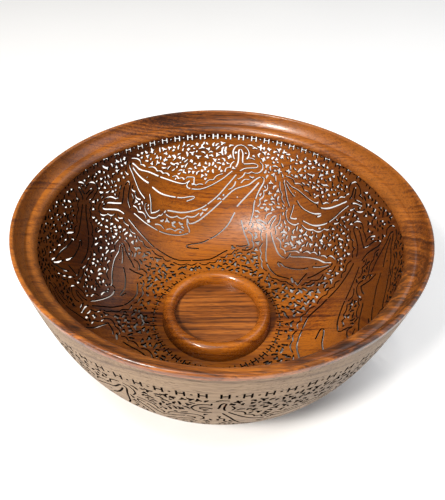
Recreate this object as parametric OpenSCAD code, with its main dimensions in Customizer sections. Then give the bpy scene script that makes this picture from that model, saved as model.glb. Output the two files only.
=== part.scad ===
// Turned wooden bowl with a moulded rim and a raised centre ring.
// Origin: centre of the foot's flat underside. +Z points up along the turning axis. Millimetres.

/* [Bowl] */
// Outside diameter over the rim
bowl_d = 305; // [260:1:360]
// Height from the foot to the top of the rim
bowl_h = 140; // [125:1:170]
// Thickness of the bowl's wall and floor
wall_t = 2.5; // [2:0.1:4]
// Radius of the flat part of the floor
floor_r = 52; // [52:1:60]

/* [Rim] */
// Radius of the rounded outer lip
lip_round = 1.7; // [1:0.1:2.2]
// Height of the glue line below the top of the lip
seam_drop = 5; // [4:0.5:7]
// Distance from the outside of the rim in to the axis of the bead
bead_inset = 10; // [9:0.5:11]
// Distance from the top of the lip down to the axis of the bead
bead_drop = 16.7; // [15:0.1:18]
// Radius of the bead along the rim's inner edge
bead_round = 6; // [5:0.5:6.5]
// Radius of the bead's lower edge, over the wall
bead_low_round = 1.6; // [1:0.1:2]
// Depth of the hollow in the cove between lip and bead
cove_sag = 0.9; // [0.3:0.1:1.2]

/* [Centre] */
// Radius of the centre ring's crest
crest_r = 43.4; // [42:0.1:45]
// Radius of the rounded top of the centre ring
crest_round = 5.2; // [4.5:0.1:6]
// Height of the centre ring above the floor
ring_h = 15.3; // [13:0.1:17]
// Radius of the centre ring's base
ring_base_r = 49.6; // [49.2:0.1:52]
// Radius of the sunk disc
disc_r = 37.8; // [35:0.1:38]
// Depth of the disc's face below the crest
recess = 10.3; // [8:0.1:12]

/* [Foot] */
// Height of the foot ring
foot_h = 7.5; // [5:0.5:10]
// Outer radius of the foot ring
foot_r = 47; // [44:0.5:48]
// Width of the foot ring
foot_w = 10; // [8:0.5:12]
// Rounding of the foot ring's lower edges
foot_round = 1.5; // [0.5:0.1:2]

/* [Hidden] */
$fn = 96;

lip_r = bowl_d / 2;
floor_z = foot_h + wall_t;
seam_z = bowl_h - seam_drop;
crest_z = floor_z + ring_h;
disc_z = crest_z - recess;

// The wall's outside is one cubic Bezier curve from the lip down to the flat bottom.
wall_curve = [
  [lip_r, bowl_h - 2],
  [0.9 * lip_r, 0.3 * bowl_h],
  [0.78 * lip_r, foot_h],
  [floor_r, foot_h],
];
wall_steps = 36;

function bezier(p, t) =
  pow(1 - t, 3) * p[0] + 3 * pow(1 - t, 2) * t * p[1] + 3 * (1 - t) * pow(t, 2) * p[2] + pow(t, 3) * p[3];
function bezier_way(p, t) =
  pow(1 - t, 2) * (p[1] - p[0]) + 2 * (1 - t) * t * (p[2] - p[1]) + pow(t, 2) * (p[3] - p[2]);
function unit(v) = v / norm(v);
function outside(t) = bezier(wall_curve, t);
// The inside keeps the same distance from the outside everywhere.
function inside(t) = let (way = unit(bezier_way(wall_curve, t))) outside(t) + wall_t * [way[1], -way[0]];
function arc(centre, r, from, to, steps) =
  [for (i = [0:steps]) let (a = from + (to - from) * i / steps) centre + r * [cos(a), sin(a)]];
function quadratic(a, b, c, steps) =
  [for (i = [0:steps]) let (t = i / steps) pow(1 - t, 2) * a + 2 * (1 - t) * t * b + pow(t, 2) * c];

// Where a curve that falls as t grows passes a height, by halving the span.
function t_outside(z, low = 0, high = 1, n = 24) =
  let (mid = (low + high) / 2)
  n == 0 ? mid : outside(mid)[1] > z ? t_outside(z, mid, high, n - 1) : t_outside(z, low, mid, n - 1);
function t_inside(z, low = 0, high = 1, n = 24) =
  let (mid = (low + high) / 2)
  n == 0 ? mid : inside(mid)[1] > z ? t_inside(z, mid, high, n - 1) : t_inside(z, low, mid, n - 1);

// Rim: nose of the lip, cove, bead, and the flat underside that overhangs the wall.
lip_axis = [lip_r - lip_round, bowl_h - lip_round];
bead_axis = [lip_r - bead_inset, bowl_h - bead_drop];
bead_low_axis = bead_axis + [bead_low_round - bead_round, 0];
bead_from = 70;
under_z = bead_axis[1] - bead_low_round;
cove_top = lip_axis + lip_round * [cos(165), sin(165)];
cove_foot = bead_axis + bead_round * [cos(bead_from), sin(bead_from)];
cove_way = unit(cove_foot - cove_top);
cove_middle = (cove_top + cove_foot) / 2 + 2 * cove_sag * [-cove_way[1], cove_way[0]];

// The rim and the wall share the same points where they are glued.
joint_steps = 6;
t_seam_in = t_inside(seam_z);
t_under = t_inside(under_z);
joint_line = [for (i = [0:joint_steps]) inside(t_seam_in + (t_under - t_seam_in) * i / joint_steps)];
t_seam_out = t_outside(seam_z);

module bowl_wall() {
  outer = [for (i = [0:wall_steps]) outside(t_seam_out + (1 - t_seam_out) * i / wall_steps)];
  inner = [for (i = [1:wall_steps]) inside(t_under + (1 - t_under) * i / wall_steps)];
  color("burlywood")
    rotate_extrude()
      polygon(concat(
        joint_line,
        inner,
        [[0, floor_z], [0, foot_h]],
        [for (i = [wall_steps:-1:0]) outer[i]]
      ));
}

module rim_ring() {
  seam_out = outside(t_seam_out);
  color("sienna")
    rotate_extrude()
      polygon(concat(
        [seam_out],
        arc(lip_axis, lip_round, 0, 165, 11),
        quadratic(cove_top, cove_middle, cove_foot, 14),
        arc(bead_axis, bead_round, bead_from + 6, 180, 26),
        arc(bead_low_axis, bead_low_round, 190, 270, 8),
        [for (i = [joint_steps:-1:0]) joint_line[i]]
      ));
}

module centre_ring() {
  axis = [crest_r, crest_z - crest_round];
  side_r = crest_r + crest_round;
  color("peru")
    rotate_extrude()
      polygon(concat(
        [[disc_r, floor_z], [ring_base_r, floor_z]],
        quadratic([ring_base_r, floor_z + 0.4], [side_r, floor_z + 1], [side_r, axis[1]], 10),
        arc(axis, crest_round, 6, 180, 24),
        [[disc_r, disc_z]]
      ));
}

module centre_disc() {
  color("peru")
    translate([0, 0, floor_z])
      cylinder(r = disc_r, h = disc_z - floor_z);
}

module foot_ring() {
  inner_r = foot_r - foot_w;
  color("sienna")
    rotate_extrude()
      polygon(concat(
        [[inner_r, foot_h]],
        arc([inner_r + foot_round, foot_round], foot_round, 180, 270, 8),
        arc([foot_r - foot_round, foot_round], foot_round, 270, 360, 8),
        [[foot_r, foot_h]]
      ));
}

bowl_wall();
rim_ring();
centre_ring();
centre_disc();
foot_ring();
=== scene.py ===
"""A turned wooden bowl, pierced all over with fretwork: dolphins, their wave lines and a stipple."""
import math
import random

import bpy
import numpy as np
from mathutils import Matrix, Vector
from mathutils.geometry import delaunay_2d_cdt
from mathutils.kdtree import KDTree


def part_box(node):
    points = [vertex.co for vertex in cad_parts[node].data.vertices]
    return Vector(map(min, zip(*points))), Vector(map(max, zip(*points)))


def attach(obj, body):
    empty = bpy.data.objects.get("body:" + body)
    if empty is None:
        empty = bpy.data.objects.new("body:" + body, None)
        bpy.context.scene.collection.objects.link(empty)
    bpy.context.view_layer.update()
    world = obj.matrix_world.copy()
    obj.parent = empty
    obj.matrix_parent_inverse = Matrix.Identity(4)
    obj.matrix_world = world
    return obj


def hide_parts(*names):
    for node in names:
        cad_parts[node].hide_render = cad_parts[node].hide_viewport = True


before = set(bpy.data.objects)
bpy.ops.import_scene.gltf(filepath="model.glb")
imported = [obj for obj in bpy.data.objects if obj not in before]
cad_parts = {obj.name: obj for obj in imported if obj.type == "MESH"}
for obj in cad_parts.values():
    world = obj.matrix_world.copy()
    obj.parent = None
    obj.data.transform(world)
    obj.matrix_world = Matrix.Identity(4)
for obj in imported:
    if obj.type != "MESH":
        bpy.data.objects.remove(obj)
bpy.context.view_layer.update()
scene = bpy.context.scene
MM = 0.001

# ---------------------------------------------------------------- sizes, from the frame
LIP_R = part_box("rim_ring")[1].x
BOWL_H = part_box("rim_ring")[1].z
UNDER_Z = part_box("rim_ring")[0].z
SEAM_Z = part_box("bowl_wall")[1].z
FOOT_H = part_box("foot_ring")[1].z
FOOT_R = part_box("foot_ring")[1].x
FLOOR_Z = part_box("centre_disc")[0].z
DISC_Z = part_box("centre_disc")[1].z
DISC_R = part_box("centre_disc")[1].x
CREST_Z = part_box("centre_ring")[1].z
RING_BASE_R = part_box("centre_ring")[1].x
WALL_T = FLOOR_Z - FOOT_H

# ---------------------------------------------------------------- sizes that no box gives, as in the CAD
FLOOR_R = 52 * MM  # radius of the flat part of the floor
LIP_ROUND = 1.7 * MM  # radius of the rounded outer lip
BEAD_INSET = 10 * MM  # from the outside of the rim in to the bead's axis
BEAD_DROP = 16.7 * MM  # from the top of the lip down to the bead's axis
BEAD_ROUND = 6 * MM  # radius of the bead
BEAD_LOW_ROUND = 1.6 * MM  # radius of the bead's lower edge
COVE_SAG = 0.9 * MM  # depth of the hollow between lip and bead
CREST_R = 43.4 * MM  # radius of the centre ring's crest
CREST_ROUND = 5.2 * MM  # radius of the centre ring's rounded top
FOOT_W = 10 * MM  # width of the foot ring
FOOT_ROUND = 1.5 * MM  # rounding of the foot ring's lower edges

AROUND = 288  # steps round the bowl


def linked(name, data):
    """A new object in the scene that shows a mesh, a lamp or a camera."""
    thing = bpy.data.objects.new(name, data)
    scene.collection.objects.link(thing)
    return thing


# ---------------------------------------------------------------- the wall's two surfaces
def wall_curve(t):
    """Places and directions along the wall's outside, which is one Bezier curve as in the CAD."""
    lip, upper, lower, floor_edge = np.array([
        [LIP_R, BOWL_H - 2 * MM],
        [0.9 * LIP_R, 0.3 * BOWL_H],
        [0.78 * LIP_R, FOOT_H],
        [FLOOR_R, FOOT_H],
    ])
    place = ((1 - t) ** 3 * lip + 3 * (1 - t) ** 2 * t * upper
             + 3 * (1 - t) * t ** 2 * lower + t ** 3 * floor_edge)
    way = ((1 - t) ** 2 * (upper - lip) + 2 * (1 - t) * t * (lower - upper)
           + t ** 2 * (floor_edge - lower))
    return place, way / np.linalg.norm(way, axis=1)[:, None]


def wall_tables(samples=6000):
    """Columns of the wall from the glue line down to the flat floor: s is the length down the
    inside from under the rim, tau is the same length measured in radii, so that (angle, tau) is
    a flat map of the inside on which small shapes keep their form."""
    outside, way = wall_curve(np.linspace(0, 1, samples)[:, None])
    normal = np.column_stack([-way[:, 1], way[:, 0]])
    inside = outside - WALL_T * normal
    first = np.argmax(outside[:, 1] <= SEAM_Z)
    outside, inside, normal = outside[first:], inside[first:], normal[first:]
    step = np.linalg.norm(np.diff(inside, axis=0), axis=1)
    s = np.concatenate([[0], np.cumsum(step)])
    tau = np.concatenate([[0], np.cumsum(step / (inside[1:, 0] + inside[:-1, 0]) * 2)])
    zero = np.argmax(inside[:, 1] <= UNDER_Z)
    inside[:, 1] = np.minimum(inside[:, 1], SEAM_Z)
    return {"s": s - s[zero], "tau": tau - tau[zero], "outside": outside, "inside": inside,
            "normal": normal}


WALL = wall_tables()
TAU_TOP = WALL["tau"][0]
TAU_FLOOR = WALL["tau"][-1]


def tau_of(s):
    """The flat map's second measure at a length down the inside."""
    return np.interp(s, WALL["s"], WALL["tau"])


def radius_of(tau):
    """Radius of the inside there, which is also the length of one unit of the flat map."""
    return np.interp(tau, WALL["tau"], WALL["inside"][:, 0])


def flat(points):
    """Points given as (degrees, millimetres down the inside) as points on the flat map."""
    points = np.array(points, float)
    return np.column_stack([np.radians(points[:, 0]), tau_of(points[:, 1] * MM)])


def on_wall(points, column="inside"):
    """Points of the flat map as places on the wall's inside or outside, or as its outward normals."""
    points = np.asarray(points, float)
    table = WALL[column]
    r = np.interp(points[:, 1], WALL["tau"], table[:, 0])
    z = np.interp(points[:, 1], WALL["tau"], table[:, 1])
    return np.column_stack([r * np.sin(points[:, 0]), r * np.cos(points[:, 0]), z])


# ---------------------------------------------------------------- lines on the flat map
def spline(points, per_span=12):
    """A smooth curve through the points. Two equal points in a row make a corner."""
    points = np.array(points, float)
    runs = []
    start = 0
    for i in range(1, len(points)):
        if np.allclose(points[i], points[i - 1]):
            runs.append(points[start:i])
            start = i
    runs.append(points[start:])
    out = []
    for run in runs:
        ends = np.vstack([2 * run[0] - run[1], run, 2 * run[-1] - run[-2]])
        t = np.linspace(0, 1, per_span, endpoint=False)[:, None]
        for a, b, c, d in zip(ends, ends[1:], ends[2:], ends[3:]):
            out.append(0.5 * (2 * b + (c - a) * t + (2 * a - 5 * b + 4 * c - d) * t ** 2
                              + (3 * b - a - 3 * c + d) * t ** 3))
        out.append(run[-1:])
    return np.vstack(out)


def lengths(line):
    """Length along a line of the flat map to each of its points, in metres."""
    step = np.linalg.norm(np.diff(line, axis=0), axis=1)
    middle = (line[1:, 1] + line[:-1, 1]) / 2
    return np.concatenate([[0], np.cumsum(step * radius_of(middle))])


def at_lengths(at, along, columns):
    """Two columns that are known at the lengths in along, read off at other lengths."""
    return np.column_stack([np.interp(at, along, columns[:, k]) for k in (0, 1)])


def resampled(line, step):
    """The line with evenly spaced points, about step metres apart."""
    along = lengths(line)
    n = max(2, int(round(along[-1] / step)) + 1)
    return at_lengths(np.linspace(0, along[-1], n), along, line)


def stretch(line, start, end):
    """The part of a line between two lengths from its start."""
    along = lengths(line)
    at = np.concatenate([[start], along[(along > start) & (along < end)], [end]])
    return at_lengths(at, along, line)


def directions(line):
    """The line's direction at each of its points, with length 1 on the flat map."""
    way = np.gradient(line, axis=0)
    return way / np.maximum(np.linalg.norm(way, axis=1), 1e-12)[:, None]


def split_at_corners(line, sharpest=50):
    """A line as smooth parts, which meet where it turns by more than sharpest degrees."""
    way = np.diff(line, axis=0)
    keep = np.concatenate([[True], np.linalg.norm(way, axis=1) > 1e-9])
    line = line[keep]
    way = np.diff(line, axis=0)
    way /= np.linalg.norm(way, axis=1)[:, None]
    turn = np.degrees(np.arccos(np.clip((way[1:] * way[:-1]).sum(1), -1, 1)))
    corners = [0, *(np.flatnonzero(turn > sharpest) + 1), len(line) - 1]
    return [line[a:b + 1] for a, b in zip(corners, corners[1:]) if b > a]


def turns_round(points, outline):
    """How many times a closed outline turns round each point."""
    a, b = outline, np.roll(outline, -1, axis=0)
    x, y = points[:, :1], points[:, 1:]
    left = (b[:, 0] - a[:, 0]) * (y - a[:, 1]) - (x - a[:, 0]) * (b[:, 1] - a[:, 1])
    up = (a[:, 1] <= y) & (b[:, 1] > y) & (left > 0)
    down = (a[:, 1] > y) & (b[:, 1] <= y) & (left < 0)
    return up.sum(axis=1) - down.sum(axis=1)


def within(point, outline):
    """Whether a point of the flat map is inside a closed outline."""
    turns = round((outline[:, 0].mean() - point[0]) / (2 * math.pi))
    moved = np.array([[point[0] + 2 * math.pi * turns, point[1]]])
    return turns_round(moved, outline)[0] != 0


# ---------------------------------------------------------------- cuts
SEAM_CLEAR = 1.2 * MM  # kept free beside the meridian at the front, where the map ends
HOLE_R = 0.9 * MM  # radius of the round holes


def saw_cut(line, width, cap=(-60, -20, 20, 60)):
    """Outline of a cut of this width along a line, with round ends, anticlockwise."""
    way = directions(line)
    side = np.column_stack([-way[:, 1], way[:, 0]])
    half = (width / 2 / radius_of(line[:, 1]))[:, None]
    turn = np.radians(cap)[:, None]
    end = line[-1] + half[-1] * (way[-1] * np.cos(turn) + side[-1] * np.sin(turn))
    start = line[0] - half[0] * (way[0] * np.cos(turn) + side[0] * np.sin(turn))
    return np.vstack([line - side * half, end, (line + side * half)[::-1], start])


def round_hole(centre, sides=8):
    a = np.linspace(0, 2 * math.pi, sides, endpoint=False)
    return centre + np.column_stack([np.cos(a), np.sin(a)]) * HOLE_R / radius_of(centre[1])


def search_tree(places):
    tree = KDTree(len(places))
    for i, place in enumerate(places):
        tree.insert(place, i)
    tree.balance()
    return tree


def distances(tree, places):
    """Distance from each place to the nearest place in the tree."""
    return np.array([tree.find(place)[2] for place in places])


class Cuts:
    """Every cut through the wall, with the places that later cuts keep clear of."""

    def __init__(self):
        self.outlines = []
        self.places = []
        self.tree = None

    def settle(self):
        """Makes every cut so far count for the room that later cuts have."""
        self.tree = search_tree(self.places)

    def room(self, outline):
        """Distance from each point of an outline to the nearest settled cut."""
        return distances(self.tree, on_wall(outline))

    def add(self, outline):
        self.outlines.append(outline)
        self.places.extend(on_wall(outline))

    def line(self, line, width, step):
        """Cuts along a line, which stops short of the meridian at the front where the map ends."""
        line = resampled(line, step)
        line[:, 0] = (line[:, 0] + math.pi) % (2 * math.pi) - math.pi
        clear = math.pi - SEAM_CLEAR / radius_of(line[:, 1])
        keep = np.abs(line[:, 0]) < clear
        breaks = np.flatnonzero(np.abs(np.diff(line[:, 0])) > 1) + 1
        for part in np.split(np.arange(len(line)), breaks):
            part = part[keep[part]]
            if len(part) > 1:
                self.add(saw_cut(line[part], width))


# ---------------------------------------------------------------- dolphins
# Lines of a dolphin in its own measures: how far along from beak to tail, and how far off the
# middle line as a share of its half depth, with the back on the positive side.
BACK = [(0.004, 0.12), (0.03, 0.2), (0.075, 0.26), (0.1, 0.36), (0.15, 0.62), (0.23, 0.86),
        (0.32, 0.98), (0.41, 1.02), (0.48, 1.08), (0.545, 1.3)]
FIN_REAR = [(0.545, 1.3), (0.51, 1.06), (0.512, 0.84), (0.55, 0.72)]
LOIN = [(0.55, 0.72), (0.63, 0.58), (0.72, 0.42), (0.82, 0.27), (0.92, 0.18)]
FLUKES = [(0.945, 0.18), (0.985, 0.3), (1.02, 0.56), (1.05, 0.82), (1.068, 0.8), (1.055, 0.5),
          (1.02, 0.2), (1.002, 0), (1.002, 0), (1.025, -0.22), (1.06, -0.52), (1.07, -0.8),
          (1.052, -0.82), (1.02, -0.56), (0.985, -0.3), (0.945, -0.18)]
BELLY = [(0.92, -0.19), (0.8, -0.32), (0.7, -0.5), (0.6, -0.74), (0.5, -0.94), (0.4, -1.03)]
PADDLE = [(0.25, -0.42), (0.285, -0.9), (0.3, -1.28), (0.312, -1.6), (0.312, -1.6), (0.34, -1.38),
          (0.358, -1.12)]
THROAT = [(0.25, -0.93), (0.19, -0.76), (0.13, -0.52), (0.07, -0.28), (0.02, -0.16),
          (-0.012, -0.02), (0.004, 0.12)]
MOUTH = [(0.03, 0), (0.09, -0.03), (0.15, -0.02), (0.21, 0.08)]
FLANK = [(0.235, 0.02), (0.32, -0.06), (0.4, 0.0), (0.48, 0.1), (0.55, 0.2), (0.575, 0.13),
         (0.56, 0.02), (0.51, -0.14)]
EYE = (0.165, 0.28)
OUTLINE = (BACK, FIN_REAR, LOIN, FLUKES, BELLY, PADDLE[::-1], THROAT)
FEATURES = (MOUTH, FLANK)

# The four dolphins of a panel: the middle line from beak to tail, given in degrees and
# millimetres down the inside, the half depth in millimetres, and the side of the back.
DOLPHINS = [
    ([(-38, 21), (-34.5, 38), (-28.5, 57), (-18, 71), (-8, 71), (0, 59), (5, 47), (9, 35)], 15, -1),
    ([(18.5, 46), (15, 58), (10.5, 73), (7, 90), (1, 107), (-7, 119), (-17, 124.5), (-27, 119),
      (-35, 106), (-40, 89), (-43.5, 73), (-46, 56)], 22, 1),
    ([(27.5, 43), (32, 53), (38, 62), (45, 64), (50.5, 57), (54.5, 44), (59, 28)], 11, -1),
    ([(66, 91), (62, 101), (55, 115), (46, 125.5), (37, 123), (31, 111), (27.5, 101), (25, 92)],
     12.5, 1),
]
PANEL_TURNS = (0, 120, -120)  # degrees round the bowl to each panel
LINE_WIDTH = 1.45 * MM
LINE_STEP = 2.4 * MM  # spacing of the points along a cut
LINE_MAX = 52 * MM  # longest cut without a bridge
BRIDGE = 2.4 * MM  # wood left between two cuts of one line


def placed(points, middle, half_depth, side):
    """A dolphin's own measures as points of the flat map."""
    along = lengths(middle)
    points = np.array(points, float)
    at = points[:, 0] * along[-1]
    base = at_lengths(at, along, middle)
    ahead = at_lengths(at, along, directions(middle))
    ahead /= np.linalg.norm(ahead, axis=1)[:, None]
    scale = radius_of(base[:, 1])[:, None]
    base = base + ahead * (np.maximum(at - along[-1], 0))[:, None] / scale
    off = np.column_stack([-ahead[:, 1], ahead[:, 0]]) * side
    return base + off * points[:, 1:] * half_depth * MM / scale


def cut_in_runs(cuts, path):
    """Cuts a line as one or more runs with a bridge of wood between them."""
    total = lengths(path)[-1]
    runs = max(1, math.ceil(total / LINE_MAX))
    for i in range(runs):
        start = BRIDGE / 2 + i * total / runs
        end = (i + 1) * total / runs - BRIDGE / 2
        for part in split_at_corners(stretch(path, start, end)):
            cuts.line(part, LINE_WIDTH, LINE_STEP)


def dolphin(cuts, middle, half_depth, side, turn):
    """Cuts one dolphin and returns its closed outline on the flat map."""
    centre = spline(flat([(a + turn, s) for a, s in middle]))
    outline = [spline(placed(line, centre, half_depth, side)) for line in OUTLINE]
    features = [spline(placed(line, centre, half_depth, side)) for line in FEATURES]
    for path in outline + features:
        cut_in_runs(cuts, path)
    cuts.add(round_hole(placed([EYE], centre, half_depth, side)[0]))
    return np.vstack(outline)


# ---------------------------------------------------------------- wave lines round each dolphin
WAVE_WIDTH = 1.3 * MM
WAVE_OFF = 4.2 * MM  # from the dolphin to the line of waves
WAVE_SWELL = 2.3 * MM  # how far a wave swells outwards
WAVE_STEP = 1.2 * MM  # spacing of the points that the waves are laid out on
WAVE_CUT_STEP = 1.9 * MM  # spacing of the points along a wave's cut
WAVE_ROOM = 2.1 * MM  # least distance from a wave's middle line to any other cut


def round_about(outline):
    """A line WAVE_OFF outside a closed outline, without the stretches where another part of the
    outline comes near. Gives its points, the way out at each and the map's scale there."""
    ring = resampled(np.vstack([outline, outline[:1]]), WAVE_STEP)[:-1]
    area = np.sum(ring[:, 0] * np.roll(ring[:, 1], -1) - ring[:, 1] * np.roll(ring[:, 0], -1))
    way = np.roll(ring, -2, axis=0) - np.roll(ring, 2, axis=0)
    way /= np.linalg.norm(way, axis=1)[:, None]
    out = np.column_stack([way[:, 1], -way[:, 0]]) * np.sign(area)
    scale = (1 / radius_of(ring[:, 1]))[:, None]
    base = ring + out * WAVE_OFF * scale
    free = distances(search_tree(on_wall(ring)), on_wall(base)) > 0.93 * WAVE_OFF
    return base[free], out[free], scale[free]


def wave_lines(cuts, outline, rng):
    """A broken line of small waves round a dolphin, clear of every other line."""
    base, out, scale = round_about(outline)
    i = 0
    in_group = 0
    while i < len(base) - 4:
        span = rng.randint(6, 10)
        part = base[i:i + span + 1]
        if len(part) < 4 or lengths(part)[-1] > 2.2 * span * WAVE_STEP:
            # Too short, or across a stretch that was left out.
            i += 2
            in_group = 0
            continue
        swell = np.sin(np.linspace(0, math.pi, len(part)))[:, None] * WAVE_SWELL * rng.uniform(0.6, 1.1)
        line = part + out[i:i + span + 1] * swell * scale[i:i + span + 1]
        if cuts.room(line).min() > WAVE_ROOM:
            cuts.line(line, WAVE_WIDTH, WAVE_CUT_STEP)
            in_group += 1
        else:
            in_group = 0
        i += span
        # Two or three waves run into each other, and then comes a gap.
        if in_group >= rng.randint(2, 3) or in_group == 0:
            i += 3
            in_group = 0


# ---------------------------------------------------------------- stipple
PITCH = 4.5 * MM  # measure of the grid of places for piercings
COLUMN_STEP = PITCH * 1.06  # from one place to the next round the bowl
ROW_STEP = 0.9 * PITCH  # from one row of places to the next down the inside
JITTER = 0.26  # most that a piercing is moved off its place, in pitches
STIPPLE_FROM = 15.5 * MM  # first row, down the inside from under the rim
STIPPLE_TO = 155.6 * MM
CENTRE_ROOM = 1.9 * MM  # least distance from a piercing's centre to a line or border
GAP = 0.8 * MM  # least wood left round a piercing
STAR_SEAM_CLEAR = 0.5 * MM  # from a piercing to the meridian where the map ends
STAR_R = (2.6, 3.9)  # least and greatest radius of a star, in millimetres
STAR_TIP = 0.68 * MM  # half width of an arm
STAR_BLUNT = 0.35 * MM  # how far an arm's outer corners are set back
STAR_WAIST = 1.0 * MM  # from a star's centre to its outline between two opposite arms
ARMS = (2, 2, 2, 3, 3, 3, 4)  # choices for the number of a star's arms
SHRINK = (1, 1, 0.92, 0.84, 0.74, 0.62, 0.5)  # sizes tried in turn at each place


def star(centre, radius, arms, rng, bold):
    """A small pierced star, fork or dash: blunt arms round a thicker middle. bold widens it."""
    first = rng.uniform(0, 2 * math.pi)
    spread = {2: rng.uniform(1.8, 3.1), 3: 2 * math.pi / 3, 4: math.pi / 2}[arms]
    angles = [first + i * spread + rng.uniform(-0.3, 0.3) for i in range(arms)]
    tip = STAR_TIP * bold
    points = []
    for i, angle in enumerate(angles):
        reach = radius * rng.uniform(0.7, 1)
        after = angles[(i + 1) % arms] + (2 * math.pi if i == arms - 1 else 0)
        for off, back in ((-tip, STAR_BLUNT), (-0.4 * tip, 0), (0.4 * tip, 0), (tip, STAR_BLUNT)):
            r = reach - back
            points.append((r * math.cos(angle) - off * math.sin(angle),
                           r * math.sin(angle) + off * math.cos(angle)))
        between = (angle + after) / 2
        waist = STAR_WAIST * bold / max(0.6, math.sin(min(math.pi, after - angle) / 2))
        points.append((waist * math.cos(between), waist * math.sin(between)))
    return centre + np.array(points) / radius_of(centre[1])


class Stipple:
    """The small piercings placed so far, kept apart from each other."""

    def __init__(self):
        self.centres = np.zeros((0, 2))
        self.outlines = []

    def clear(self, outline, centre, reach=8 * MM):
        """Whether an outline keeps its gap to every piercing whose centre is within reach."""
        r = radius_of(centre[1])
        near = np.flatnonzero(np.linalg.norm(self.centres - centre, axis=1) * r < reach)
        for i in near:
            apart = self.outlines[i][:, None, :] - outline[None, :, :]
            if np.linalg.norm(apart, axis=2).min() * r < GAP:
                return False
        return True

    def fit_star(self, cuts, centre, r, bold, rng):
        """Adds the first of some smaller and smaller stars that has room at this place."""
        for scale in SHRINK:
            arms = rng.choice(ARMS)
            radius = rng.uniform(*STAR_R) * MM * scale * bold
            outline = star(centre, radius, arms, rng, bold)
            if (np.abs(outline[:, 0]).max() < math.pi - STAR_SEAM_CLEAR / r
                    and cuts.room(outline).min() > GAP
                    and self.clear(outline, centre)):
                self.outlines.append(outline)
                self.centres = np.vstack([self.centres, centre])
                return


def stipple(cuts, bodies, rng):
    """Small piercings over all of the ground between the figures."""
    piercings = Stipple()
    s = STIPPLE_FROM
    row = 0
    while s < STIPPLE_TO:
        tau = tau_of(s)
        r = radius_of(tau)
        n = int(round(2 * math.pi * r / COLUMN_STEP))
        # Bolder towards the middle of the bowl.
        bold = float(np.interp(s, (70 * MM, 125 * MM), (1, 1.25)))
        for i in range(n):
            angle = (i + 0.5 * (row % 2)) / n * 2 * math.pi - math.pi
            angle += rng.uniform(-JITTER, JITTER) * PITCH / r
            centre = np.array([angle, tau + rng.uniform(-JITTER, JITTER) * PITCH / r])
            if cuts.room([centre])[0] < CENTRE_ROOM or any(within(centre, body) for body in bodies):
                continue
            piercings.fit_star(cuts, centre, r, bold, rng)
        s += ROW_STEP
        row += 1
    cuts.outlines.extend(piercings.outlines)


# ---------------------------------------------------------------- borders, and all cuts together
BORDER_BAR = 1.3 * MM  # width of the bars of an H


def border(cuts, count, s, height, width):
    """A row of H-shaped piercings with a round hole midway between neighbours."""
    tau = float(tau_of(s))
    r = float(radius_of(tau))
    x, y, bar = width / 2 / r, height / 2 / r, BORDER_BAR / r
    half = np.array([(-x, -y), (-x + bar, -y), (-x + bar, -bar / 2),
                     (x - bar, -bar / 2), (x - bar, -y), (x, -y)])
    shape = np.vstack([half, -half])
    for i in range(count):
        angle = (i + 0.5) * 2 * math.pi / count - math.pi
        cuts.add(shape + (angle, tau))
        # The hole before the first H would be on the meridian where the map ends.
        if i:
            cuts.add(round_hole(np.array([angle - math.pi / count, tau])))


def all_cuts():
    """Every cut in the wall, in the order in which they claim their room."""
    rng = random.Random(7)
    cuts = Cuts()
    border(cuts, count=72, s=7.4 * MM, height=6.4 * MM, width=5.8 * MM)
    border(cuts, count=36, s=159 * MM, height=6 * MM, width=6 * MM)
    bodies = []
    for turn in PANEL_TURNS:
        for middle, half_depth, side in DOLPHINS:
            bodies.append(dolphin(cuts, middle, half_depth, side, turn))
    cuts.settle()
    for body in bodies:
        wave_lines(cuts, body, rng)
        cuts.settle()
    stipple(cuts, bodies, rng)
    return cuts.outlines


# ---------------------------------------------------------------- the pierced wall
GROUND_ROWS = 34  # rows of points between the cuts
GROUND_CLEAR = 2.2 * MM  # least distance from such a point to a cut
SEAM_POINTS = 48  # points down the meridian where the map ends
SAME = 1e-6  # two measures of the map that differ by less than this are the same
INNER, OUTER, KERF = 0, 1, 2  # the wall's material slots


def ground_points(outlines):
    """Points between the cuts, so that the wall stays round, and none too near a cut."""
    tree = search_tree([place for outline in outlines for place in on_wall(outline)])
    points = []
    for row in range(1, GROUND_ROWS):
        tau = TAU_TOP + (TAU_FLOOR - TAU_TOP) * row / GROUND_ROWS
        for i in range(AROUND // 2):
            angle = (i + 0.5 * (row % 2) + 0.25) * 4 * math.pi / AROUND - math.pi
            if distances(tree, on_wall([(angle, tau)]))[0] > GROUND_CLEAR:
                points.append((angle, tau))
    return points


def wall_sheet(outlines):
    """The flat map's points, and its triangles between the cuts."""
    angles = np.linspace(-math.pi, math.pi, AROUND + 1)
    seam = np.linspace(TAU_TOP, TAU_FLOOR, SEAM_POINTS)[1:-1]
    points = [(a, TAU_TOP) for a in angles] + [(a, TAU_FLOOR) for a in angles]
    points += [(-math.pi, t) for t in seam] + [(math.pi, t) for t in seam]
    points += ground_points(outlines)
    edges = []
    for outline in outlines:
        first, n = len(points), len(outline)
        edges.extend((first + i, first + (i + 1) % n) for i in range(n))
        points.extend(map(tuple, outline))
    verts, _, tris, _, _, _ = delaunay_2d_cdt([Vector(p) for p in points], edges, [], 0, 1e-7, False)
    verts = np.array(verts)
    tris = np.array(tris)
    middles = verts[tris].mean(axis=1)
    wood_left = np.ones(len(tris), bool)
    for outline in outlines:
        low, high = outline.min(axis=0), outline.max(axis=0)
        near = np.flatnonzero(np.all((middles > low) & (middles < high), axis=1))
        wood_left[near[turns_round(middles[near], outline) != 0]] = False
    return verts, largest_part(tris[wood_left].tolist())


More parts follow.
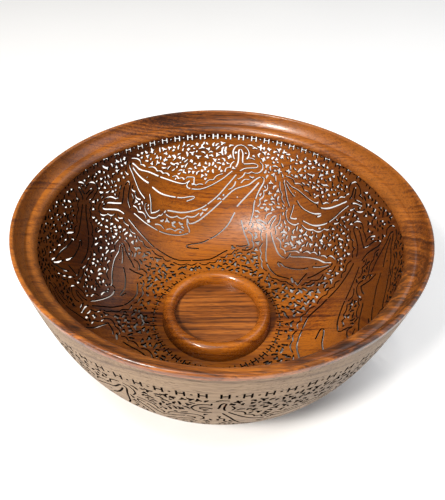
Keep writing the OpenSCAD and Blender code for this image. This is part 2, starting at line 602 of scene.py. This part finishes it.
def largest_part(tris):
    """The triangles that hang together. A bit of wood that is cut loose all round falls out."""
    parent = {}

    def root(a):
        while parent.setdefault(a, a) != a:
            parent[a] = parent[parent[a]]
            a = parent[a]
        return a

    for tri in tris:
        first = root(tri[0])
        for other in tri[1:]:
            parent[root(other)] = first
            first = root(first)
    groups = {}
    for tri in tris:
        groups.setdefault(root(tri[0]), []).append(tri)
    return max(groups.values(), key=len)


def joined_ends(verts, tris):
    """The map with its two ends joined, as they are one line on the bowl, and no unused points."""
    first = {round(t, 7): i for i, (a, t) in enumerate(verts) if abs(a + math.pi) < SAME}
    same = {i: first[round(t, 7)] for i, (a, t) in enumerate(verts) if abs(a - math.pi) < SAME}
    tris = [[same.get(v, v) for v in tri] for tri in tris]
    used = sorted({v for tri in tris for v in tri})
    index = {v: i for i, v in enumerate(used)}
    return verts[used], [[index[v] for v in tri] for tri in tris]


class Skin:
    """Faces, each with a normal at every corner and a material slot."""

    def __init__(self):
        self.faces = []
        self.normals = []
        self.slots = []

    def add(self, face, normals, slot):
        self.faces.append(face)
        self.normals.extend(normals)
        self.slots.append(slot)

    def piece(self, name, places):
        mesh = bpy.data.meshes.new(name)
        mesh.from_pydata(places.tolist(), [], self.faces)
        mesh.polygons.foreach_set("use_smooth", [True] * len(mesh.polygons))
        mesh.polygons.foreach_set("material_index", self.slots)
        mesh.normals_split_custom_set([tuple(v) for v in self.normals])
        return linked(name, mesh)


def pierced_wall():
    """The wall as a closed solid: both surfaces, the sides of every cut, the edge and the floor."""
    points, tris = joined_ends(*wall_sheet(all_cuts()))
    n = len(points)
    places = np.vstack([on_wall(points, "outside"), on_wall(points, "inside")])
    normals = on_wall(points, "normal")
    skin = Skin()
    edges = {}
    for a, b, c in tris:
        skin.add((a, b, c), (normals[a], normals[b], normals[c]), OUTER)
        skin.add((c + n, b + n, a + n), (-normals[c], -normals[b], -normals[a]), INNER)
        for edge in ((a, b), (b, c), (c, a)):
            edges[edge] = True
    # An edge that only one triangle has is on a cut, on the top edge or round the flat floor.
    floor_edges = {}
    for a, b in edges:
        if (b, a) in edges:
            continue
        if abs(points[a][1] - TAU_FLOOR) < SAME and abs(points[b][1] - TAU_FLOOR) < SAME:
            floor_edges[a] = b
            continue
        across = np.cross(places[a] - places[b], places[a + n] - places[b])
        skin.add((b, a, a + n, b + n), [across / np.linalg.norm(across)] * 4, KERF)
    loop = [next(iter(floor_edges))]
    while floor_edges[loop[-1]] != loop[0]:
        loop.append(floor_edges[loop[-1]])
    skin.add(tuple(reversed(loop)), [(0, 0, -1)] * len(loop), OUTER)
    skin.add(tuple(v + n for v in loop), [(0, 0, 1)] * len(loop), INNER)
    return skin.piece("pierced_wall", places)


# ---------------------------------------------------------------- turned pieces
def arc(centre, radius, start, end, steps):
    """Points on a circle from one angle to another, in degrees."""
    a = np.radians(np.linspace(start, end, steps + 1))
    return np.array(centre) + radius * np.column_stack([np.cos(a), np.sin(a)])


def on_circle(centre, radius, angle):
    return arc(centre, radius, angle, angle, 0)[0]


def quadratic(a, b, c, steps):
    """A curve from a to c that b pulls towards itself."""
    t = np.linspace(0, 1, steps + 1)[:, None]
    return (1 - t) ** 2 * np.array(a) + 2 * (1 - t) * t * np.array(b) + t ** 2 * np.array(c)


def turned(name, profile, sharp=38):
    """A solid turned about the Z axis from a closed profile of (radius, height)."""
    steps = np.linalg.norm(np.diff(profile, axis=0), axis=1)
    profile = profile[np.concatenate([[True], steps > 1e-6])]
    rows = len(profile)
    angles = np.linspace(0, 2 * math.pi, AROUND, endpoint=False)
    places = [(r * math.sin(a), r * math.cos(a), z) for a in angles for r, z in profile]
    faces = []
    for i in range(AROUND):
        a, b = i * rows, (i + 1) % AROUND * rows
        for j in range(rows):
            k = (j + 1) % rows
            faces.append((a + j, a + k, b + k, b + j))
    mesh = bpy.data.meshes.new(name)
    mesh.from_pydata(places, [], faces)
    mesh.polygons.foreach_set("use_smooth", [True] * len(mesh.polygons))
    mesh.set_sharp_from_angle(angle=math.radians(sharp))
    return linked(name, mesh)


def rim_profile():
    """Nose of the lip, cove, bead, the flat underside, and the wall's inside where it is glued."""
    lip_axis = np.array([LIP_R - LIP_ROUND, BOWL_H - LIP_ROUND])
    bead_axis = np.array([LIP_R - BEAD_INSET, BOWL_H - BEAD_DROP])
    low_axis = bead_axis - np.array([BEAD_ROUND - BEAD_LOW_ROUND, 0])
    cove_top = on_circle(lip_axis, LIP_ROUND, 165)
    cove_foot = on_circle(bead_axis, BEAD_ROUND, 70)
    way = (cove_foot - cove_top) / np.linalg.norm(cove_foot - cove_top)
    middle = (cove_top + cove_foot) / 2 + 2 * COVE_SAG * np.array([-way[1], way[0]])
    glue = WALL["inside"][(WALL["inside"][:, 1] <= SEAM_Z) & (WALL["inside"][:, 1] >= UNDER_Z)]
    glue = glue[np.linspace(len(glue) - 1, 0, 8).astype(int)]
    return np.vstack([
        [WALL["outside"][0]],
        arc(lip_axis, LIP_ROUND, 0, 165, 14),
        quadratic(cove_top, middle, cove_foot, 16),
        arc(bead_axis, BEAD_ROUND, 76, 180, 24),
        arc(low_axis, BEAD_LOW_ROUND, 190, 270, 8),
        glue,
    ])


def ring_profile():
    """A small flare at the base, an upright side, a round top and an upright inner wall."""
    axis = np.array([CREST_R, CREST_Z - CREST_ROUND])
    side_r = axis[0] + CREST_ROUND
    return np.vstack([
        [[DISC_R, FLOOR_Z], [RING_BASE_R, FLOOR_Z]],
        quadratic([RING_BASE_R, FLOOR_Z + 0.4 * MM], [side_r, FLOOR_Z + MM], [side_r, axis[1]], 14),
        arc(axis, CREST_ROUND, 6, 180, 28),
        [[DISC_R, DISC_Z]],
    ])


def foot_profile():
    """A flat ring with its two lower edges rounded."""
    inner_r = FOOT_R - FOOT_W
    return np.vstack([
        [[inner_r, FOOT_H]],
        arc([inner_r + FOOT_ROUND, FOOT_ROUND], FOOT_ROUND, 180, 270, 8),
        arc([FOOT_R - FOOT_ROUND, FOOT_ROUND], FOOT_ROUND, 270, 360, 8),
        [[FOOT_R, FOOT_H]],
    ])


def disc_profile():
    """A flat face with a fine turned groove close to its edge, round a pinhole on the axis."""
    pinhole_r = 0.4 * MM
    groove_r = DISC_R - 0.7 * MM
    groove_z = DISC_Z - 0.35 * MM
    return np.array([
        [pinhole_r, FLOOR_Z],
        [DISC_R, FLOOR_Z],
        [DISC_R, groove_z],
        [groove_r + 0.3 * MM, groove_z],
        [groove_r, DISC_Z - 0.06 * MM],
        [groove_r - 0.5 * MM, DISC_Z],
        [pinhole_r, DISC_Z],
    ])


# ---------------------------------------------------------------- materials
class Nodes:
    """A material's node tree with short ways to add and join nodes."""

    def __init__(self, name):
        self.material = bpy.data.materials.new(name)
        self.material.use_nodes = True
        self.tree = self.material.node_tree
        self.tree.nodes.clear()
        self.shader = self.add("ShaderNodeBsdfPrincipled")
        output = self.add("ShaderNodeOutputMaterial")
        self.join(self.shader.outputs[0], output.inputs["Surface"])

    def add(self, kind, **settings):
        node = self.tree.nodes.new(kind)
        for key, value in settings.items():
            setattr(node, key, value)
        return node

    def join(self, source, target):
        """Links an output to an input, or sets the input to a number or a colour."""
        if hasattr(source, "is_linked"):
            self.tree.links.new(source, target)
        else:
            target.default_value = source

    def place(self):
        return self.add("ShaderNodeTexCoord").outputs["Object"]

    def axis(self, vector, name):
        node = self.add("ShaderNodeSeparateXYZ")
        self.join(vector, node.inputs[0])
        return node.outputs[name]

    def distance(self, vector, centre=(0, 0, 0)):
        node = self.add("ShaderNodeVectorMath", operation="DISTANCE")
        self.join(vector, node.inputs[0])
        node.inputs[1].default_value = centre
        return node.outputs["Value"]

    def math(self, operation, a, b=0.0, clamp=False):
        node = self.add("ShaderNodeMath", operation=operation, use_clamp=clamp)
        self.join(a, node.inputs[0])
        self.join(b, node.inputs[1])
        return node.outputs[0]

    def sum(self, *terms):
        """The sum of some values, each times its own factor."""
        parts = [self.math("MULTIPLY", value, factor) for value, factor in terms]
        total = parts[0]
        for part in parts[1:]:
            total = self.math("ADD", total, part)
        return total

    def mapped(self, source, scale=(1, 1, 1), location=(0, 0, 0), rotation=(0, 0, 0)):
        node = self.add("ShaderNodeMapping")
        self.join(source, node.inputs["Vector"])
        node.inputs["Scale"].default_value = scale
        node.inputs["Location"].default_value = location
        node.inputs["Rotation"].default_value = rotation
        return node.outputs[0]

    def noise(self, vector, scale, detail=2.0, roughness=0.5, output="Fac"):
        node = self.add("ShaderNodeTexNoise")
        self.join(vector, node.inputs["Vector"])
        node.inputs["Scale"].default_value = scale
        node.inputs["Detail"].default_value = detail
        node.inputs["Roughness"].default_value = roughness
        return node.outputs[output]

    def ramp(self, value, stops):
        node = self.add("ShaderNodeValToRGB")
        self.join(value, node.inputs["Fac"])
        elements = node.color_ramp.elements
        while len(elements) < len(stops):
            elements.new(0.5)
        for element, (place, colour) in zip(elements, stops):
            element.position = place
            element.color = (*colour, 1)
        return node.outputs["Color"]

    def between(self, value, low, high, to_low=0.0, to_high=1.0):
        node = self.add("ShaderNodeMapRange", clamp=True)
        self.join(value, node.inputs["Value"])
        for key, number in (("From Min", low), ("From Max", high), ("To Min", to_low), ("To Max", to_high)):
            node.inputs[key].default_value = number
        return node.outputs["Result"]

    def mix(self, factor, a, b):
        """Colour a with as much of colour b over it as the factor says."""
        node = self.add("ShaderNodeMix", data_type="RGBA")
        self.join(factor, node.inputs["Factor"])
        for source, target in ((a, node.inputs[6]), (b, node.inputs[7])):
            self.join((*source, 1) if isinstance(source, tuple) else source, target)
        return node.outputs[2]

    def bump(self, height, strength, distance):
        """Gives the shader's normal the bumps of a height."""
        node = self.add("ShaderNodeBump")
        self.join(height, node.inputs["Height"])
        node.inputs["Strength"].default_value = strength
        node.inputs["Distance"].default_value = distance
        self.join(node.outputs["Normal"], self.shader.inputs["Normal"])


def srgb(r, g, b):
    """A colour given in display values from 0 to 255, in linear light."""
    def linear(c):
        c /= 255
        return c / 12.92 if c <= 0.04045 else ((c + 0.055) / 1.055) ** 2.4
    return tuple(linear(c) for c in (r, g, b))


def times(factor, colour):
    return tuple(factor * c for c in colour)


class Grain:
    """The pattern of hardwood with its fibres along X: growth bands round a far pith, fibres,
    open pores drawn out along them, streaks, and slow patches of darker heartwood."""

    def __init__(self, nodes, tilt, shift):
        self.nodes = nodes
        place = nodes.mapped(nodes.place(), location=shift, rotation=(0, 0, math.radians(tilt)))
        # Slow bending of the fibres.
        bend = nodes.noise(nodes.mapped(place, (0.35, 1, 1)), 13, output="Color")
        pulled = nodes.add("ShaderNodeVectorMath", operation="MULTIPLY_ADD")
        nodes.join(bend, pulled.inputs[0])
        pulled.inputs[1].default_value = (0, 0.02, 0.02)
        nodes.join(place, pulled.inputs[2])
        self.bent = pulled.outputs[0]
        self.fibre = self.drawn_out(0.035, scale=700, detail=3, roughness=0.6)
        self.fine = self.drawn_out(0.045, scale=2100, detail=2, roughness=0.55)
        self.patch = self.drawn_out(0.3, scale=15, detail=2.5, roughness=0.55)
        self.pore = nodes.between(self.drawn_out(0.06, scale=1500, detail=1, roughness=0.4), 0.6, 0.68)

    def drawn_out(self, share, scale, detail, roughness):
        """Noise that is drawn out along the fibres: the smaller the share, the longer."""
        return self.nodes.noise(self.nodes.mapped(self.bent, (share, 1, 1)), scale, detail, roughness)

    def bands(self):
        """Growth bands by distance from a pith that runs along X, below and in front of the bowl."""
        to_pith = self.nodes.mapped(self.bent, (0.06, 1, 1), location=(0, 0.31, 0.22))
        noise = self.nodes.add("ShaderNodeTexNoise", noise_dimensions="1D")
        self.nodes.join(self.nodes.distance(to_pith), noise.inputs["W"])
        noise.inputs["Scale"].default_value = 330
        noise.inputs["Detail"].default_value = 3
        noise.inputs["Roughness"].default_value = 0.6
        return noise.outputs["Fac"]

    def figure(self):
        """Bands, fibres and patches as one value for the ramp of colours."""
        return self.nodes.sum((self.bands(), 0.42), (self.fibre, 0.36), (self.fine, 0.22),
                              (self.nodes.math("SUBTRACT", self.patch, 0.5), 0.8))

    def streak(self, most):
        noise = self.drawn_out(0.03, scale=150, detail=3, roughness=0.62)
        return self.nodes.between(noise, 0.55, 0.7, 0, most)

    def stripe(self):
        return self.nodes.between(self.drawn_out(0.05, scale=230, detail=2, roughness=0.6), 0.42, 0.56)


def wood(name, pale, middle, dark, roughness, coat, tilt=0.0, shift=(0, 0, 0), streaks=0.3,
         heart=0.3, heart_at=None, end_grain=0.62, painted_shade_span=None):
    """Oiled hardwood. The tilt in degrees and the shift in metres say how the piece lies in the
    log. heart_at is the centre and reach of a stretch of streaky heartwood, and the last argument
    is the span of heights over which painted shade darkens the foot of the piece."""
    n = Nodes(name)
    grain = Grain(n, tilt, shift)
    colour = n.ramp(grain.figure(), [(0.32, dark), (0.44, middle), (0.56, pale), (0.72, middle)])
    colour = n.mix(grain.streak(streaks), colour, dark)
    colour = n.mix(n.between(grain.patch, 0.54, 0.7, 0, heart), colour, times(0.45, dark))
    if heart_at:
        centre, reach = heart_at
        near = n.between(n.distance(n.place(), centre), 0.4 * reach, reach, 1, 0)
        stripes = n.math("MULTIPLY", near, n.math("MULTIPLY", grain.stripe(), 0.8))
        colour = n.mix(stripes, colour, times(0.5, dark))
    # End grain drinks the oil and is darker than the long grain.
    facing = n.axis(n.add("ShaderNodeTexCoord").outputs["Normal"], "X")
    across = n.between(n.math("ABSOLUTE", facing), 0.3, 0.85, 0, end_grain)
    colour = n.mix(across, colour, times(0.8, dark))
    # Pores: short dark lines along the fibres, dots on end grain.
    colour = n.mix(n.math("MULTIPLY", grain.pore, 0.5), colour, times(0.2, dark))
    # Painted shade: darker towards the foot of the piece, standing in for the shade where it meets the
    # floor.
    if painted_shade_span:
        foot, top = painted_shade_span
        contact_shade = n.between(n.axis(n.place(), "Z"), foot, top, 0.85, 0)
        colour = n.mix(contact_shade, colour, times(0.35, dark))
    n.join(colour, n.shader.inputs["Base Color"])
    rough = n.math("ADD", n.math("MULTIPLY", n.math("SUBTRACT", grain.fine, 0.5), 0.2), roughness)
    rough = n.math("ADD", rough, n.math("MULTIPLY", grain.pore, 0.2), clamp=True)
    n.join(rough, n.shader.inputs["Roughness"])
    n.shader.inputs["Coat Weight"].default_value = coat
    n.shader.inputs["Coat Roughness"].default_value = 0.12
    n.bump(n.sum((grain.fine, 0.4), (grain.pore, -1.0), (grain.fibre, 0.5)), 0.3, 0.3 * MM)
    return n.material


def shaded_cut_sides():
    """The sides of the cuts: painted nearly black for the shade inside the narrow cuts, with a little brown
    left.
    """
    n = Nodes("shaded_cut_sides")
    mottle = n.noise(n.mapped(n.place(), (0.3, 1, 1)), 900, detail=3, roughness=0.6)
    n.join(n.ramp(mottle, [(0.35, srgb(10, 7, 5)), (0.7, srgb(34, 21, 14))]), n.shader.inputs["Base Color"])
    n.join(n.between(mottle, 0.3, 0.7, 0.95, 0.8), n.shader.inputs["Roughness"])
    n.shader.inputs["Specular IOR Level"].default_value = 0.1
    n.bump(mottle, 0.3, 0.2 * MM)
    return n.material


def floor_material():
    """Pale paper with a painted glow that brightens it, and a painted shadow under the bowl."""
    n = Nodes("pale_floor")
    paper = n.ramp(n.noise(n.place(), 3), [(0.3, (0.86, 0.855, 0.85)), (0.7, (0.9, 0.895, 0.89))])
    n.join(paper, n.shader.inputs["Base Color"])
    n.shader.inputs["Roughness"].default_value = 0.7
    # Painted shadow: the glow is left out under the bowl; it starts under the rim and is full just outside
    # it.
    glow_with_painted_shadow = n.between(n.distance(n.place()), 0.75 * LIP_R, 1.1 * LIP_R, 0, 0.42)
    n.shader.inputs["Emission Color"].default_value = (0.98, 0.99, 1, 1)
    n.join(glow_with_painted_shadow, n.shader.inputs["Emission Strength"])
    return n.material


# ---------------------------------------------------------------- the bowl
inner_wood = wood("inner_wood", srgb(188, 108, 24), srgb(138, 70, 15), srgb(66, 28, 10),
                  roughness=0.34, coat=0, heart=0.5, end_grain=0.7)
# Painted sheen: the white floor's reflection is painted into the outside's colour, which is paler and
# greyer than the inside's.
outer_wood_painted_sheen = wood("outer_wood_painted_sheen", srgb(148, 122, 94), srgb(130, 104, 78), srgb(98, 74, 54),
                  roughness=0.6, coat=0, end_grain=0.2)
rim_wood = wood("rim_wood", srgb(184, 108, 36), srgb(134, 72, 24), srgb(60, 29, 12),
                roughness=0.34, coat=0.2, tilt=3, shift=(0.05, 0, 0.1), end_grain=0.2,
                heart_at=((0.1, -0.1, BOWL_H - 5 * MM), 0.1))
# The raised ring's foot carries painted shade, darker towards the floor.
centre_wood = wood("centre_wood", srgb(198, 114, 30), srgb(150, 78, 19), srgb(84, 40, 12),
                   roughness=0.26, coat=0.4, tilt=-2, shift=(0.2, 0.03, 0), end_grain=0.1,
                   painted_shade_span=(FLOOR_Z, FLOOR_Z + 9 * MM))
disc_wood = wood("disc_wood", srgb(186, 110, 42), srgb(138, 76, 28), srgb(62, 30, 12),
                 roughness=0.38, coat=0.1, tilt=-4, shift=(0.4, 0.1, 0.02), streaks=0.6)
foot_wood = wood("foot_wood", srgb(140, 86, 48), srgb(108, 62, 34), srgb(66, 36, 22),
                 roughness=0.45, coat=0.1, tilt=5, shift=(0.1, 0.2, 0))

wall = pierced_wall()
for material in (inner_wood, outer_wood_painted_sheen, shaded_cut_sides()):
    wall.data.materials.append(material)
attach(wall, "root")
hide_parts("bowl_wall")

for piece, node, slot, material in (
    (turned("moulded_rim", rim_profile()), "rim_ring", "rim_wood", rim_wood),
    (turned("raised_ring", ring_profile()), "centre_ring", "centre_wood", centre_wood),
    (turned("sunk_disc", disc_profile(), sharp=30), "centre_disc", "disc_wood", disc_wood),
    (turned("turned_foot", foot_profile()), "foot_ring", "foot_wood", foot_wood),
):
    piece.data.materials.append(material)
    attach(piece, "root")
    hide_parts(node)


# ---------------------------------------------------------------- floor, lights, camera
def make_floor():
    mesh = bpy.data.meshes.new("floor")
    mesh.from_pydata([(-4, -4, 0), (4, -4, 0), (4, 6, 0), (-4, 6, 0)], [], [(0, 1, 2, 3)])
    mesh.materials.append(floor_material())
    floor = linked("floor", mesh)


def area_light(name, way, distance, size, power, colour):
    """A soft square light that shines at the bowl's middle from a direction."""
    lamp = bpy.data.lights.new(name, "AREA")
    lamp.shape = "SQUARE"
    lamp.size = size
    lamp.energy = power
    lamp.color = colour
    light = linked(name, lamp)
    target = Vector((0, 0, BOWL_H / 2))
    light.location = target + Vector(way).normalized() * distance
    light.rotation_euler = (target - light.location).to_track_quat("-Z", "Y").to_euler()


def make_camera():
    """Looks down at the bowl from the front at about 42 degrees, close by."""
    lens = bpy.data.cameras.new("camera")
    camera = linked("camera", lens)
    pitch, yaw, roll = math.radians(41.75), math.radians(-2.72), math.radians(0.08)
    camera.matrix_world = (
        Matrix.Translation((0, -0.3068, 0.3661))
        @ Matrix.Rotation(-yaw, 4, "Z")
        @ Matrix.Rotation(math.pi / 2 - pitch, 4, "X")
        @ Matrix.Rotation(-roll, 4, "Z")
    )
    lens.sensor_width = 36
    lens.lens = 36.45
    lens.shift_x = 0.0439
    lens.shift_y = 0.0004
    lens.clip_start = 0.01
    lens.dof.use_dof = False
    scene.camera = camera


def make_world():
    world = bpy.data.worlds.new("studio")
    scene.world = world
    world.use_nodes = True
    background = world.node_tree.nodes["Background"]
    background.inputs["Color"].default_value = (1, 0.95, 0.88, 1)
    background.inputs["Strength"].default_value = 0.16


make_floor()
make_world()
area_light("key", (-0.46, -0.56, 0.74), distance=1.3, size=0.24, power=21, colour=(1, 0.96, 0.9))
area_light("window", (-0.1, -0.2, 0.97), distance=1.5, size=0.6, power=4, colour=(1, 0.97, 0.92))
area_light("sky", (0.55, 0.35, 0.75), distance=1.5, size=0.9, power=3.5, colour=(0.95, 0.97, 1))
area_light("side_window", (0.88, -0.1, 0.42), distance=1.5, size=0.8, power=4, colour=(0.66, 0.8, 1))
make_camera()
scene.view_settings.view_transform = "Standard"
